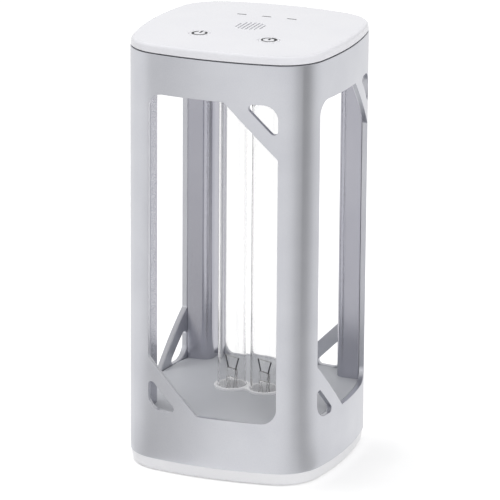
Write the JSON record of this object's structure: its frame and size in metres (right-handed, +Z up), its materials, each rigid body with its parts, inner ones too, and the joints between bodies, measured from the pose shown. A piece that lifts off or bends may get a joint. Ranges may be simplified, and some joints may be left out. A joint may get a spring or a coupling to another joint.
{
  "type": "ultraviolet desk lamp",
  "caption": "Free-standing ultraviolet disinfection lamp: square silver frame with windows and corner struts round a bare twin tube, white lid with press keys, white base.",
  "frame": {"origin": "on the table under the middle of the four feet", "axes": "+Z up along the tube, front with the two keys towards -Y, +X to the right seen from the front"},
  "size_m": [0.12, 0.12, 0.248],
  "materials": {
    "frame_silver": "satin anodised, fine grain",
    "post_grey": "moulded, silver grey, satin",
    "floor_metal": "satin",
    "seam_black": "matt",
    "lid_white": "smooth semi-gloss",
    "key_white": "smooth semi-gloss, printed ring",
    "base_white": "satin",
    "switch_black": "matt",
    "plunger_ivory": "matt",
    "circuit_board": "solder mask",
    "chip_black": "matt",
    "speaker_black": "matt",
    "guide_clear": "frosted clear",
    "light_white": "gloss",
    "tube_glass": "clear quartz glass",
    "filament_wire": "dull",
    "cap_white": "smooth",
    "pin_brass": "bright",
    "socket_white": "matt",
    "foot_rubber": "matt",
    "sleeve_blue": "gloss",
    "ferrite_grey": "matt",
    "film_red": "gloss",
    "sink_aluminium": "mill",
    "wire_sleeve": "matt",
    "gland_rubber": "matt",
    "screw_steel": "zinc plated"
  },
  "bodies": {
    "body": {"frame_shell": "frame_silver", "floor_plate": "floor_metal", "ceiling_plate": "post_grey", "lid_carrier": "seam_black", "lid": "lid_white", "power_switch": "switch_black", "timer_switch": "switch_black", "control_board": "circuit_board", "control_chips": "chip_black", "speaker": "speaker_black", "indicator_guides": "guide_clear", "indicator_lights": "light_white", "motion_sensor": "circuit_board", "lamp_tube": "tube_glass", "stem_left": "tube_glass", "stem_right": "tube_glass", "filament_left": "filament_wire", "filament_right": "filament_wire", "lamp_cap": "cap_white", "contact_pins": "pin_brass", "lamp_socket": "socket_white", "base_tray": "base_white", "rubber_feet": "foot_rubber", "ballast_board": "circuit_board", "ballast_capacitor": "sleeve_blue", "ballast_choke": "ferrite_grey", "film_capacitors": "film_red", "heat_sink": "sink_aluminium", "terminal_block": "socket_white", "wire_bundle": "wire_sleeve", "wire_header": "socket_white", "cord_gland": "gland_rubber", "ceiling_screws": "screw_steel", "floor_screws": "screw_steel", "control_board_screws": "screw_steel", "ballast_board_screws": "screw_steel", "socket_screws": "screw_steel", "post_front_left": "post_grey", "post_front_right": "post_grey", "post_rear_left": "post_grey", "post_rear_right": "post_grey"},
    "power_button": {"power_key": "key_white", "power_plunger": "plunger_ivory"},
    "timer_button": {"timer_key": "key_white", "timer_plunger": "plunger_ivory"}
  },
  "joints": [
    {"name": "power_press", "type": "slide", "parent": "body", "child": "power_button", "axis": [0, 0, -1], "range_m": [0, 0.0005], "stiffness_N_per_m": 2000, "springref_m": -0.0003},
    {"name": "timer_press", "type": "slide", "parent": "body", "child": "timer_button", "axis": [0, 0, -1], "range_m": [0, 0.0005], "stiffness_N_per_m": 2000, "springref_m": -0.0003}
  ]
}
